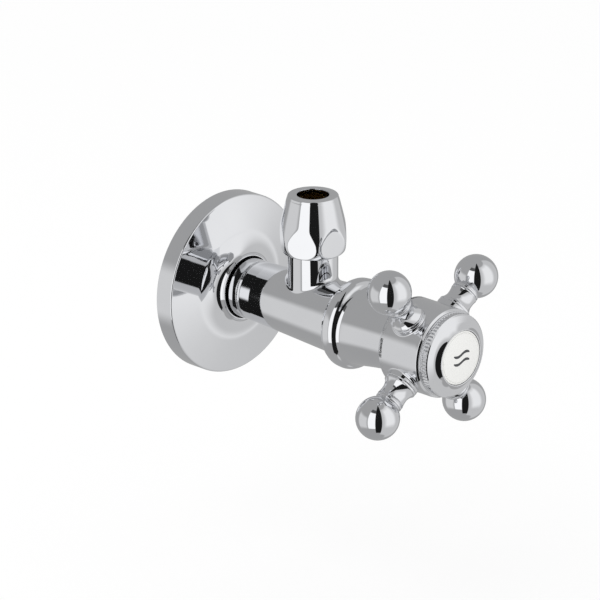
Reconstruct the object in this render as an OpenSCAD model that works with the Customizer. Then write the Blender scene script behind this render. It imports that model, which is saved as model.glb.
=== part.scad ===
// Angle stop valve with a four-ball cross handle.
// The wall is the plane Y = 0. The valve stands out of it along -Y, its outlet points up (+Z)
// and its inlet thread runs into the wall along +Y. The origin is the centre of the inlet
// where it passes the wall. "Reach" is always a distance out of the wall, in millimetres.

/* [Inlet] */
// Outside diameter of the inlet pipe thread (G 1/2)
inlet_thread_d = 20.955; // [18:0.005:26.5]
// Length of inlet thread inside the wall
inlet_thread_len = 14; // [9:0.5:20]
// Bore of the inlet water way
inlet_bore_d = 12; // [9:0.5:13.5]
// Outside diameter of the smooth shank that carries the rosette
shank_d = 19.2; // [17:0.1:20]

/* [Rosette] */
// Outside diameter of the wall rosette
rosette_d = 61; // [52:0.5:80]
// Depth of the rosette's straight rim
rosette_rim = 6.7; // [4.5:0.1:9]
// Reach of the rosette's collar
rosette_reach = 12.1; // [10.6:0.1:14.5]
// Sheet thickness of the rosette
rosette_wall = 1.3; // [0.8:0.1:2]
// How far the rosette can be pulled off the wall along the shank
rosette_travel = 3; // [1:0.5:4]

/* [Body] */
// Reach of the barrel's back face
barrel_back = 16.8; // [15:0.1:20]
// Diameter of the barrel at its back
barrel_back_d = 20.4; // [19:0.1:24]
// Diameter of the barrel under the cover sleeve
barrel_front_d = 24.5; // [23:0.1:28]
// Reach of the outlet axis
outlet_reach = 42; // [38:0.5:52]
// From the outlet axis to the front end of the body
body_nose = 24.7; // [24:0.1:30]
// Height of the water chamber's seat lip
seat_lip = 1; // [0.6:0.1:1.5]

/* [Outlet] */
// Outside diameter of the outlet pipe thread (G 3/8)
outlet_thread_d = 16.662; // [15:0.002:20]
// Height of the outlet boss above the valve axis
boss_top = 30.5; // [29:0.5:38]
// Height at which the outlet nut starts
nut_base = 19.9; // [19:0.1:24]
// Length of the outlet nut
nut_len = 19.7; // [18.5:0.1:25]
// Largest diameter of the crowned outlet nut
nut_d = 22.9; // [22:0.1:28]
// Width across the flats of the outlet nut
nut_af = 20; // [19.5:0.1:24]
// Outside diameter of the supply pipe that is pushed in
pipe_d = 10; // [8:0.5:10.5]

/* [Headpart] */
// Outside diameter of the headpart thread
headpart_thread_d = 16.6; // [15.5:0.1:17.5]
// Width across the flats of the headpart's hexagon
headpart_af = 17; // [16:0.5:17.5]
// Lift of the plug from closed to open
plug_lift = 5; // [3:0.5:5.5]
// Diameter of the spindle where it is sealed
spindle_d = 8.3; // [7:0.1:8.6]
// Outside diameter of the spindle's lifting thread
lift_thread_d = 5.9; // [5:0.1:6.2]
// Diameter over the spline that drives the handle
spline_d = 8; // [7:0.1:8.2]
// Outside diameter of the seat washer
washer_d = 12.8; // [11:0.1:13]

/* [Cover sleeve] */
// Largest diameter of the sleeve's bead
bead_d = 30.3; // [29:0.1:36]
// Diameter of the sleeve's front lip
sleeve_front_d = 21.9; // [21.5:0.1:25]
// Length of the cover sleeve
sleeve_len = 23.4; // [23.2:0.1:30]

/* [Handle] */
// Diameter of the handle hub
hub_d = 29.6; // [28.5:0.1:38]
// Length of the hub
hub_len = 18.6; // [18.2:0.1:24]
// Diameter of the circle through the ball centres
ball_circle_d = 58.6; // [54:0.1:80]
// Diameter of the balls
ball_d = 14.3; // [11.5:0.1:18]
// Turn of the closed handle's arms, counter-clockwise from the diagonals
handle_clock = -7.1; // [-45:0.1:45]

/* [Index] */
// Diameter of the knurled cap ring
cap_d = 28; // [27:0.1:32]
// Diameter of the index disc
index_d = 17.9; // [14:0.1:19]

/* [Hidden] */
$fn = 96;

chrome = "silver";
brass = "goldenrod";
rubber = "dimgray";
steel = "lightslategray";
eps = 0.01;
thread_gap = 0.04;   // radial play of a screwed joint
run_gap = 0.05;      // radial play of a turning or sliding fit
end_gap = 0.1;       // end play between parts that move on each other

// Inlet and shank
inlet_r = inlet_thread_d / 2;
seal_at = 0.3;
land_r = inlet_r - 0.3;                  // plain land in front of the seal groove
seal_r = inlet_r - 0.4;                  // the seal ring stays below the land
seal_len = 1.8;
thread_run = 4;                          // front end of the land
collar_r = shank_d / 2 + 0.5;
collar_back = rosette_reach + 0.8;
groove_len = 0.4;

// Rosette
rosette_r = rosette_d / 2;
rosette_hole_r = inlet_r + 0.12;         // passes over the inlet thread
rosette_lip_r = rosette_hole_r + 0.45;
rosette_hub_r = rosette_hole_r + 2.4;
rosette_hub_back = seal_at + 0.5;        // the hub stays clear of what the inlet screws into
flare_r = rosette_lip_r + 7.5;
flare_t = rosette_rim + 1.6;
oring_at = flare_t - 1.5;
oring_bed_r = rosette_hole_r + 0.8;
rosette_cord_r = (oring_bed_r - shank_d / 2 - run_gap) / 2;
oring_bed_half = max(1, rosette_cord_r + 0.1);

// Body
barrel_front = outlet_reach + 19.5;
body_front = outlet_reach + body_nose;
spigot_r = barrel_front_d / 2 - 1.25;
seat_t = outlet_reach - 8.5;
chamber_r = washer_d / 2 + 0.9;
seat_r = 4.6;
thread_back = body_front - 10.2;         // inner end of the headpart thread
headpart_r = headpart_thread_d / 2;

// Outlet
outlet_r = outlet_thread_d / 2;
boss_r = outlet_r - 0.05;
pipe_bore_r = pipe_d / 2 + 0.1;
pipe_socket = 7;
outlet_way_r = 4.2;
nut_top = nut_base + nut_len;
olive_r = pipe_bore_r + 1.2;
olive_len = 5.4;
olive_base = boss_top - 1.1;
nut_mouth_r = pipe_bore_r + 0.22;
nut_turn = -8;                            // the flats' turn when the nut is tight

// Headpart
gasket_t = 0.8;
flange_back = body_front + gasket_t;
hex_back = flange_back + 1;
neck_back = hex_back + 4.5;
housing_front = neck_back + 7.7;
housing_back = thread_back - 7.5;
housing_bore_r = headpart_r - 2.55;
tail_r = chamber_r - 0.15;
hex_bore_af = 2 * housing_bore_r * 0.86;
spindle_r = spindle_d / 2;
lift_r = lift_thread_d / 2;
thrust_r = hex_bore_af / 2 - run_gap;
thrust_front = hex_back + 2;
thrust_back = thrust_front - 2.4;
oring_section = 1.15;
oring_groove_r = spindle_r - oring_section;
slip_t = 0.45;
clip_t = 0.6;
slip_back = housing_front + run_gap;
clip_back = slip_back + slip_t + run_gap;
clip_r = spindle_r - 0.6;
spindle_oring_reach = [neck_back + 0.6, neck_back + 3.6];

// Plug
plug_back = seat_t + 3;
hex_len = 4.8;
plug_hex_front = thrust_back - plug_lift - 0.3;
plug_hex_back = plug_hex_front - hex_len;
hex_bore_back = plug_hex_back + 1;
piston_back = housing_back + end_gap;
piston_len = 3.4;
spindle_tip = plug_hex_front - 9.3;
plug_hole_back = spindle_tip - plug_lift - 0.3;
screw_r = 1.5;

// Sleeve
sleeve_back = barrel_front - 2.2;
sleeve_front = sleeve_back + sleeve_len;
sleeve_wall = 1.15;
bead_r = bead_d / 2;
bead_t = sleeve_back + 2.8;
bead_round = 3.3;
cove_round = 3;
bead_turn = 50;                           // how far the bead rolls over before the cove
skirt_back = bead_t + 4.3;
skirt_r = bead_r - 2.2;
sleeve_slope = 0.19;

// Handle
hub_back = sleeve_front + 0.5;
hub_front = hub_back + hub_len;
arm_t = hub_back + 9.5;
hub_r = hub_d / 2;
hub_round = 3.3;
pad_r = 5.7;
pad_reach = hub_r + 0.9;
stud_r = 2.5;
stud_reach = hub_r - 4.5;
ball_r = ball_d / 2;
ball_reach = ball_circle_d / 2;
screw_seat = hub_front - 7.1;
web_back = screw_seat - 2.2;
hub_socket_front = web_back;
handle_screw_r = 2;
lock_t = 0.8;
cap_thread_r = hub_r - 4.3;
cap_thread_len = 4;

// Cap ring and index disc
cap_r = cap_d / 2;
cap_back = hub_front + 0.05;
bead_len = 0.7;
knurl_len = 2.1;
cone_back = cap_back + bead_len + knurl_len;
index_r = index_d / 2;
crown_lip = 0.35;                         // edge between knurl and crown
cove_r = index_r + 2.35;                  // where the crown turns up into its cove
cove_back = cone_back + 0.95;
cap_rim_r = index_r + 0.4;
cap_front = cove_back + 1.75;
crown_slope = 0.5;
index_front = cap_front + 0.3;
index_back = index_front - 2.1;
mark_depth = 0.3;

// ---- helpers ----

// Local +Z runs out of the wall, local +Y runs up.
module out_of_wall() { rotate([90, 0, 0]) children(); }

// A round solid along the valve axis, from its outline of [radius, reach] points
module turned(outline) { out_of_wall() rotate_extrude() polygon(outline); }

// A plain cylinder along the valve axis, from one reach to another
module rod(r, from, to) { out_of_wall() translate([0, 0, from]) cylinder(r = r, h = to - from); }

// A hexagonal rod along the valve axis, measured across its flats
module hex_rod(af, from, to) {
    out_of_wall() translate([0, 0, from]) cylinder(d = af / cos(30), h = to - from, $fn = 6);
}

// A rubber ring round the valve axis
module ring_cord(mean_r, cord_r, at) {
    out_of_wall() translate([0, 0, at]) rotate_extrude() translate([mean_r, 0]) circle(r = cord_r, $fn = 32);
}

// Points along a round stretch of an outline
function arc(c, r, a0, a1, n) =
    [for (i = [0:n]) let(a = a0 + (a1 - a0) * i / n) [c[0] + r * cos(a), c[1] + r * sin(a)]];

// Points along a quarter ellipse that starts level with c and ends in line with it
function dish(c, rx, ry, n) =
    [for (i = [0:n]) let(a = 90 * i / n) [c[0] - rx * sin(a), c[1] - ry * cos(a)]];

// Moves children from the valve axis to the outlet axis
module at_outlet() { translate([0, -outlet_reach, 0]) children(); }

// Puts children, drawn along +X, on one arm's axis
module on_arm(k) {
    translate([0, -arm_t, 0]) rotate([0, -(45 + handle_clock + 90 * k), 0]) children();
}

// A solid turned about an arm's axis, from its outline of [radius, reach along the arm] points
module arm_turned(outline) { rotate([0, 90, 0]) rotate_extrude() polygon(outline); }

// Spline outline: teeth round a circle
module spline_shape(d, grow) {
    teeth = 20;
    polygon([for (i = [0:2 * teeth - 1])
        let(r = d / 2 + grow - (i % 2 == 0 ? 0 : 0.45), a = 180 * i / teeth) [r * cos(a), r * sin(a)]]);
}

// ---- fixed pieces ----

// The body is one casting, drawn as three stretches that meet face to face: the inlet with its
// shank, the barrel with the water chamber, and the outlet boss.
module body_inlet() {
    color(chrome) difference() {
        turned([
            [0, -inlet_thread_len], [inlet_r - 1, -inlet_thread_len], [inlet_r, 1 - inlet_thread_len],
            [inlet_r, seal_at], [shank_d / 2 - 0.6, seal_at], [shank_d / 2 - 0.6, seal_at + seal_len],
            [land_r, seal_at + seal_len], [land_r, thread_run], [shank_d / 2, thread_run + 0.6],
            [shank_d / 2, collar_back], [collar_r - 0.3, collar_back], [collar_r, collar_back + 0.3],
            [collar_r, barrel_back - groove_len], [collar_r - 0.5, barrel_back - groove_len],
            [collar_r - 0.5, barrel_back], [0, barrel_back]]);
        rod(inlet_bore_d / 2, -inlet_thread_len - 1, barrel_back + 1);
    }
}

// The barrel's outside, without its bores
module barrel_shape() {
    turned([
        [0, barrel_back], [barrel_back_d / 2 - 0.7, barrel_back],
        [barrel_back_d / 2 - 0.3, barrel_back + 0.25], [barrel_back_d / 2 - 0.15, barrel_back + 0.7],
        [barrel_back_d / 2, barrel_back + 5.5], [barrel_front_d / 2, barrel_front],
        [spigot_r, barrel_front], [spigot_r, body_front - 0.6], [spigot_r - 0.6, body_front],
        [0, body_front]]);
}

module body_barrel() {
    color(chrome) difference() {
        barrel_shape();
        rod(inlet_bore_d / 2, barrel_back - 1, seat_t - 5);
        rod(seat_r, seat_t - 6, seat_t + 1);
        difference() {
            rod(chamber_r, seat_t - seat_lip, body_front + 1);
            turned([[0, 0], [seat_r + 1.2, 0], [seat_r + 1.2, seat_t - 0.3], [seat_r + 0.9, seat_t], [0, seat_t]]);
        }
        rod(headpart_r + thread_gap, thread_back, body_front + 1);
        at_outlet() cylinder(r = outlet_way_r, h = boss_top);
    }
}

module body_outlet() {
    color(chrome) difference() {
        union() {
            at_outlet() cylinder(r = boss_r, h = nut_base);
            at_outlet() cylinder(r = outlet_r, h = boss_top - 0.8);
            at_outlet() translate([0, 0, boss_top - 0.8 - eps]) cylinder(r1 = outlet_r, r2 = outlet_r - 0.8, h = 0.8 + eps);
        }
        barrel_shape();
        at_outlet() cylinder(r = outlet_way_r, h = boss_top + 1);
        at_outlet() translate([0, 0, boss_top - pipe_socket]) cylinder(r = pipe_bore_r, h = pipe_socket + 1);
        at_outlet() translate([0, 0, olive_base - 0.1]) cylinder(r1 = pipe_bore_r, r2 = olive_r + 0.4, h = boss_top - olive_base + 0.2);
    }
}

module inlet_seal() {
    color("white") difference() {
        rod(seal_r, seal_at + 0.05, seal_at + seal_len - 0.05);
        rod(shank_d / 2 - 0.55, seal_at - 1, seal_at + seal_len + 1);
    }
}

module headpart_housing() {
    color(brass) difference() {
        union() {
            rod(tail_r, housing_back, thread_back + 0.2);
            rod(headpart_r, thread_back + 0.2, flange_back);
            rod(headpart_r + 1.3, flange_back, hex_back);
            hex_rod(headpart_af, hex_back, neck_back);
            turned([[0, neck_back - 1], [7.2, neck_back - 1], [7.2, housing_front - 0.5], [6.7, housing_front],
                    [0, housing_front]]);
        }
        rod(housing_bore_r, housing_back - 1, hex_bore_back + 0.2);
        hex_rod(hex_bore_af, hex_bore_back, thrust_front);
        rod(spindle_r + run_gap, thrust_front - 1, housing_front + 1);
    }
}

module headpart_gasket() {
    color(rubber) difference() {
        rod(headpart_r + 1.2, body_front, flange_back);
        rod(headpart_r + thread_gap, body_front - 1, flange_back + 1);
    }
}

// The sleeve's outline from its back edge, over the bead and along the waist to the front lip
function sleeve_outline() =
    let(bead_c = [bead_r - bead_round, bead_t],
        cove_c = bead_c + (bead_round + cove_round) * [cos(bead_turn), sin(bead_turn)],
        start = cove_c + cove_round * [cos(191), sin(191)],
        lip = [sleeve_front_d / 2, sleeve_front - 0.6],
        run = lip[1] - start[1],
        bow = (lip[0] - start[0] + sleeve_slope * run) / (run * run))
    concat([[bead_r - 0.9, sleeve_back], [bead_r - 0.5, sleeve_back + 0.25], [bead_r - 0.15, sleeve_back + 1.1]],
        arc(bead_c, bead_round, 0, bead_turn, 5),
        arc(cove_c, cove_round, 180 + bead_turn, 191, 5),
        [for (i = [1:6]) let(x = run * i / 6) [start[0] - sleeve_slope * x + bow * x * x, start[1] + x]],
        [[lip[0] - 0.2, sleeve_front - 0.15], [lip[0] - 0.5, sleeve_front]]);

module cover_sleeve() {
    color(chrome) difference() {
        turned(concat([[0, sleeve_back]], sleeve_outline(), [[0, sleeve_front]]));
        rod(barrel_front_d / 2 + 0.05, sleeve_back - 1, barrel_front + 0.1);
        rod(spigot_r + thread_gap, sleeve_back - 1, body_front);
        turned([[0, body_front - 1], [spigot_r + thread_gap, body_front - 1], [spigot_r + thread_gap, body_front],
                [sleeve_front_d / 2 - sleeve_wall, sleeve_front - 3],
                [sleeve_front_d / 2 - sleeve_wall, sleeve_front + 1], [0, sleeve_front + 1]]);
    }
}

// ---- rosette ----

module wall_rosette() {
    color(chrome) difference() {
        turned(concat([[0, 0], [rosette_r, 0], [rosette_r, rosette_rim - 0.6],
                       [rosette_r - 0.2, rosette_rim - 0.2], [rosette_r - 0.7, rosette_rim]],
                      dish([flare_r, rosette_reach], flare_r - rosette_lip_r, rosette_reach - flare_t, 10),
                      [[0, rosette_reach]]));
        rod(rosette_hole_r, -1, rosette_reach + 1);
        rod(rosette_hub_r + eps, -1, rosette_hub_back);
        rod(oring_bed_r, oring_at - oring_bed_half, oring_at + oring_bed_half);
        turned([[rosette_hub_r, -1], [rosette_r - rosette_wall, -1], [rosette_r - rosette_wall, rosette_rim - rosette_wall],
                [flare_r, flare_t - rosette_wall], [rosette_hub_r, flare_t - rosette_wall]]);
    }
}

module rosette_oring() {
    color(rubber) ring_cord(shank_d / 2 + run_gap / 2 + rosette_cord_r, rosette_cord_r, oring_at);
}

// ---- outlet nut and olive ----

module outlet_nut() {
    color(chrome) at_outlet() difference() {
        intersection() {
            rotate_extrude() polygon([
                [0, nut_base], [nut_d / 2 - 2.1, nut_base], [nut_d / 2 - 1.15, nut_base + 0.6],
                [nut_d / 2 - 0.45, nut_base + 1.9], [nut_d / 2 - 0.1, nut_base + 3.4], [nut_d / 2, nut_base + 4.8],
                [nut_d / 2 - 0.15, nut_base + 6.6], [nut_d / 2 - 1.2, nut_base + nut_len * 0.6],
                [nut_d / 2 - 2.65, nut_top - 2], [nut_d / 2 - 3, nut_top - 0.7], [nut_d / 2 - 3.3, nut_top - 0.2],
                [nut_d / 2 - 3.8, nut_top], [0, nut_top]]);
            rotate([0, 0, nut_turn]) translate([0, 0, nut_base - 1])
                cylinder(d = nut_af / cos(30), h = nut_len + 2, $fn = 6);
        }
        translate([0, 0, nut_base - 1]) cylinder(r = outlet_r + run_gap, h = boss_top - nut_base + 1.5);
        translate([0, 0, boss_top + 0.5 - eps]) cylinder(r1 = outlet_r + run_gap, r2 = olive_r + 0.2, h = 1.5);
        translate([0, 0, boss_top + 1]) cylinder(r = olive_r + 0.2, h = olive_base + olive_len - boss_top - 1.6);
        translate([0, 0, olive_base + olive_len - 0.7])
            cylinder(r1 = olive_r + 0.2, r2 = nut_mouth_r, h = olive_r - nut_mouth_r + 0.2);
        cylinder(r = nut_mouth_r, h = nut_top + 1);
    }
}

module compression_olive() {
    color(brass) at_outlet() rotate_extrude() polygon([
        [pipe_bore_r, olive_base + 0.15], [pipe_bore_r + 0.25, olive_base + 0.15], [olive_r, olive_base + 1.7],
        [olive_r, olive_base + olive_len - 1.5], [pipe_bore_r + 0.4, olive_base + olive_len - 0.35],
        [pipe_bore_r, olive_base + olive_len - 0.35]]);
}

// ---- spindle and plug ----

module spindle() {
    color(brass) difference() {
        union() {
            rod(lift_r, spindle_tip, thrust_back + 1);
            rod(thrust_r, thrust_back, thrust_front - end_gap);
            rod(spindle_r, thrust_front - 1, clip_back + clip_t + 0.3);
            out_of_wall() translate([0, 0, clip_back + clip_t]) linear_extrude(hub_socket_front - 0.5 - clip_back - clip_t)
                spline_shape(spline_d, 0);
        }
        for (at = spindle_oring_reach) difference() {
            rod(spindle_r + 1, at - 0.7, at + 0.7);
            rod(oring_groove_r, at - 1, at + 1);
        }
        difference() {
            rod(spindle_r + 1, clip_back - 0.02, clip_back + clip_t + 0.02);
            rod(clip_r, clip_back - 1, clip_back + clip_t + 1);
        }
        rod(handle_screw_r + thread_gap, housing_front, hub_front);
    }
}

module spindle_orings() {
    cord_r = (spindle_r - oring_groove_r) / 2;
    color(rubber) for (at = spindle_oring_reach) ring_cord(oring_groove_r + cord_r, cord_r, at);
}

module slip_washer() {
    color("white") difference() {
        rod(spindle_r + 2.2, slip_back, slip_back + slip_t);
        rod(spindle_r + 0.02, slip_back - 1, slip_back + slip_t + 1);
    }
}

module circlip() {
    color(steel) difference() {
        rod(spindle_r + 1.5, clip_back, clip_back + clip_t);
        rod(clip_r + 0.02, clip_back - 1, clip_back + clip_t + 1);
        translate([0, -clip_back, spindle_r + 2]) cube([3.4, 4, 8], center = true);
    }
}

module valve_plug() {
    color(brass) difference() {
        union() {
            rod(washer_d / 2 + 0.6, plug_back - 2, plug_back + 2.2);
            turned([[0, plug_back + 2], [5, plug_back + 2], [3.6, plug_back + 3.4], [3.6, piston_back - 1.2],
                    [housing_bore_r - 0.6, piston_back - 0.1], [housing_bore_r - 0.6, piston_back + 0.5],
                    [0, piston_back + 0.5]]);
            rod(housing_bore_r - run_gap, piston_back, piston_back + piston_len);
            rod(hex_bore_af / 2 - 0.1, piston_back, plug_hex_back + 1);
            hex_rod(hex_bore_af - 2 * run_gap, plug_hex_back, plug_hex_front);
        }
        rod(washer_d / 2 + 0.05, plug_back - 3, plug_back);
        rod(screw_r + thread_gap, plug_back - 1, plug_back + 6.5);
        rod(lift_r + run_gap, plug_hole_back, plug_hex_front + 1);
        difference() {
            rod(housing_bore_r + 1, piston_back + 1, piston_back + 2.4);
            rod(housing_bore_r - 1.1, piston_back, piston_back + 3);
        }
    }
}

module plug_oring() {
    cord_r = (1.1 - run_gap) / 2;
    color(rubber) ring_cord(housing_bore_r - 1.1 + cord_r, cord_r, piston_back + 1.7);
}

module seat_washer() {
    color(rubber) difference() {
        rod(washer_d / 2, seat_t, plug_back);
        rod(screw_r + thread_gap, seat_t - 1, plug_back + 1);
    }
}

module washer_screw() {
    color(steel) difference() {
        union() {
            turned([[0, seat_t - 1.6], [2, seat_t - 1.6], [2.8, seat_t - 1], [2.8, seat_t], [0, seat_t]]);
            rod(screw_r, seat_t - 1, plug_back + 6);
        }
        translate([0, -(seat_t - 1.6), 0]) cube([0.7, 1.2, 8], center = true);
    }
}

// ---- handle ----

module handle_hub() {
    color(chrome) difference() {
        union() {
            turned(concat([[0, hub_back]],
                arc([hub_r - hub_round, hub_back + hub_round], hub_round, -90, 0, 8),
                [[hub_r - 0.1, arm_t + 4], [hub_r - 0.5, hub_front - 0.5], [hub_r - 0.9, hub_front], [0, hub_front]]));
            for (k = [0:3]) on_arm(k)
                rotate([0, 90, 0]) translate([0, 0, hub_r - 3]) cylinder(r = pad_r, h = pad_reach - hub_r + 3);
        }
        for (k = [0:3]) on_arm(k)
            rotate([0, 90, 0]) translate([0, 0, stud_reach]) cylinder(r = stud_r, h = pad_reach);
        out_of_wall() translate([0, 0, hub_back - 1]) linear_extrude(web_back - hub_back + 1)
            spline_shape(spline_d, run_gap);
        rod(handle_screw_r + 0.2, web_back - 1, screw_seat + 1);
        rod(cap_thread_r - 2.3, screw_seat, hub_front + 1);
        rod(cap_thread_r + thread_gap, cap_back - cap_thread_len - 0.3, hub_front + 1);
    }
}

module handle_arm(k) {
    neck_r = ball_d * 0.305;
    tip_r = neck_r + 0.3;
    foot = pad_reach;
    entry = ball_reach - sqrt(ball_r * ball_r - (neck_r - 0.2) * (neck_r - 0.2));
    collar = entry - 1.5;
    waist = (foot + 0.9 + collar) / 2 + 0.2;
    color(chrome) on_arm(k) union() {
        arm_turned(concat(
            [[0, stud_reach + 0.2], [stud_r - 0.5, stud_reach + 0.2], [stud_r - thread_gap, stud_reach + 0.8],
             [stud_r - thread_gap, foot], [pad_r - 0.4, foot], [pad_r - 0.1, foot + 0.25], [pad_r - 0.1, foot + 0.9]],
            [for (i = [1:6]) let(u = 1 - i / 6)
                [neck_r + (pad_r - 0.1 - neck_r) * u * u, foot + 0.9 + (waist - foot - 0.9) * i / 6]],
            [for (i = [1:4]) let(u = i / 4) [neck_r + (tip_r - neck_r) * u * u, waist + (collar - waist) * u]],
            [[neck_r - 0.1, collar + 0.15], [neck_r - 0.1, collar + 0.4], [neck_r + 0.2, collar + 0.55],
             [neck_r + 0.25, collar + 0.9], [neck_r + 0.1, collar + 1.2], [neck_r - 0.2, collar + 1.35],
             [neck_r - 0.2, ball_reach], [0, ball_reach]]));
        translate([ball_reach, 0, 0]) sphere(r = ball_r);
    }
}

module handle_screw() {
    head_back = screw_seat + lock_t;
    color(steel) difference() {
        union() {
            turned([[0, head_back], [3.5, head_back], [3.6, head_back + 0.3], [3.6, head_back + 1.8],
                    [3, head_back + 2.6], [0, head_back + 2.8]]);
            rod(handle_screw_r, hub_back + 1, head_back + 1);
        }
        hex_rod(2.5, head_back + 1, head_back + 4);
    }
}

module lock_washer() {
    color(steel) difference() {
        rod(4, screw_seat, screw_seat + lock_t);
        rod(handle_screw_r + 0.15, screw_seat - 1, screw_seat + 2);
    }
}

module cap_ring() {
    cove_len = cove_r - cap_rim_r;
    cove_bend = (cap_front - cove_back - crown_slope * cove_len) / (cove_len * cove_len);
    color(chrome) difference() {
        turned(concat([
            [0, cap_back - cap_thread_len], [cap_thread_r - 0.5, cap_back - cap_thread_len],
            [cap_thread_r, cap_back - cap_thread_len + 0.5], [cap_thread_r, cap_back],
            [cap_r - 0.3, cap_back], [cap_r, cap_back + 0.15], [cap_r, cap_back + bead_len - 0.3],
            [cap_r - 0.35, cap_back + bead_len - 0.15], [cap_r - 0.35, cap_back + bead_len],
            [cap_r - 0.15, cap_back + bead_len + 0.1], [cap_r - 0.15, cone_back - 0.2],
            [cap_r - crown_lip, cone_back], [cap_r - 2 * crown_lip, cone_back + 0.25]],
            [for (i = [0:5]) let(x = cove_len * i / 5)
                [cove_r - x, cove_back + crown_slope * x + cove_bend * x * x]],
            [[0, cap_front]]));
        rod(cap_thread_r - 1.9, cap_back - cap_thread_len - 1, index_back - 1.4);
        rod(index_r + 0.1, index_back, cap_front + 1);
    }
}

module index_disc() {
    color("white") difference() {
        turned([[0, index_back], [index_r, index_back], [index_r, index_front - 0.6],
                [index_r - 0.2, index_front - 0.2], [index_r - 0.6, index_front], [0, index_front]]);
        mark_shape(0, 0.1);
    }
}

// Two wavy lines, cut or filled to mark_depth below the disc's face
module mark_shape(gap, proud) {
    half = index_r * 0.42;
    stroke = 0.5 - gap;
    for (row = [-1, 1]) out_of_wall() translate([0, row * 1.3, index_front - mark_depth])
        linear_extrude(mark_depth + proud)
            polygon(concat(
                [for (i = [0:12]) let(x = half * (i / 6 - 1)) [x, 0.55 * sin(180 * x / half) + stroke]],
                [for (i = [12:-1:0]) let(x = half * (i / 6 - 1)) [x, 0.55 * sin(180 * x / half) - stroke]]));
}

module index_mark() { color("steelblue") mark_shape(0.02, 0); }

body_inlet();
body_barrel();
body_outlet();
inlet_seal();
wall_rosette();
rosette_oring();
outlet_nut();
compression_olive();
headpart_housing();
headpart_gasket();
spindle();
spindle_orings();
slip_washer();
circlip();
valve_plug();
plug_oring();
seat_washer();
washer_screw();
cover_sleeve();
handle_hub();
handle_arm(0);  // handle_arm_1
handle_arm(1);  // handle_arm_2
handle_arm(2);  // handle_arm_3
handle_arm(3);  // handle_arm_4
handle_screw();
lock_washer();
cap_ring();
index_disc();
index_mark();
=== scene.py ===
"""Chromed angle stop valve with a four-ball cross handle, in metres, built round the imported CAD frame.

The wall is the plane Y = 0 and the valve stands out of it along -Y. "Reach" is a distance out of the wall.
Sizes in the classes below are millimetres.
"""

import logging
import math
from dataclasses import dataclass, field
from enum import Enum

import bmesh
import bpy
from mathutils import Matrix, Vector


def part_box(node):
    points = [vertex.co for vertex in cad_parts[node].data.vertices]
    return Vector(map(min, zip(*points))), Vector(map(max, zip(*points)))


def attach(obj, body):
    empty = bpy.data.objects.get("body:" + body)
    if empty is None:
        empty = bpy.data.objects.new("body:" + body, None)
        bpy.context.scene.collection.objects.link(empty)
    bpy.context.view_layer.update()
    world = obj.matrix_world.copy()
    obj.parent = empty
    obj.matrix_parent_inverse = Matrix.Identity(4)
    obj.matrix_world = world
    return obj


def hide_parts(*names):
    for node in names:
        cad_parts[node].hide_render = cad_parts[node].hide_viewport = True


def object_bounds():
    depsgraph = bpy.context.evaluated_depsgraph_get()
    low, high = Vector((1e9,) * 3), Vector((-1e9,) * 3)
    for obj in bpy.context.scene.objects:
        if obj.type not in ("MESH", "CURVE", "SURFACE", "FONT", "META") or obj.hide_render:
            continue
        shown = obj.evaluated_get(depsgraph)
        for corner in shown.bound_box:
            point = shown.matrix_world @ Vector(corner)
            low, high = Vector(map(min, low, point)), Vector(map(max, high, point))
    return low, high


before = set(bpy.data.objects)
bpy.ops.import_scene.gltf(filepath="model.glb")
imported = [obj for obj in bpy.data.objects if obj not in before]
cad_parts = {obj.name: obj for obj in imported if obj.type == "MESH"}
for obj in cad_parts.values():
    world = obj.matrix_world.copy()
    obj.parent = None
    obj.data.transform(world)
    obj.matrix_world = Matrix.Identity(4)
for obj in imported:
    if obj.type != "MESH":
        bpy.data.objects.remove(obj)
CAD_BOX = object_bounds()

MM = 0.001
LOG = logging.getLogger("angle_stop_valve")


# ---------------------------------------------------------------------------------------------------------
# Colours and nodes
# ---------------------------------------------------------------------------------------------------------


def srgb(code: str) -> tuple[float, float, float, float]:
    """Turns an sRGB hex colour into a linear colour.

    Args:
        code: colour written as "#RRGGBB".
    Returns:
        Linear red, green, blue and an alpha of 1.
    """
    parts = [int(code[i : i + 2], 16) / 255 for i in (1, 3, 5)]
    linear = [p / 12.92 if p <= 0.04045 else ((p + 0.055) / 1.055) ** 2.4 for p in parts]
    return (*linear, 1.0)


def add_node(tree: bpy.types.NodeTree, kind: str, settings: dict | None = None, inputs: dict | None = None):
    """Adds one node with its settings, socket values and links.

    Args:
        tree: node tree that gets the node.
        kind: Blender's node type.
        settings: attribute values of the node.
        inputs: socket name or number against a value, or against an output socket to link from.
    Returns:
        The new node.
    """
    node = tree.nodes.new(kind)
    for name, value in (settings or {}).items():
        setattr(node, name, value)
    for name, value in (inputs or {}).items():
        if isinstance(value, bpy.types.NodeSocket):
            tree.links.new(value, node.inputs[name])
        else:
            node.inputs[name].default_value = value
    return node


# ---------------------------------------------------------------------------------------------------------
# Finishes
# ---------------------------------------------------------------------------------------------------------


class Grain(Enum):
    """How the surface of a finish was made, which sets its fine relief."""

    POLISHED = "polished"
    TURNED = "turned"
    MOULDED = "moulded"
    GLAZED = "glazed"


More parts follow.
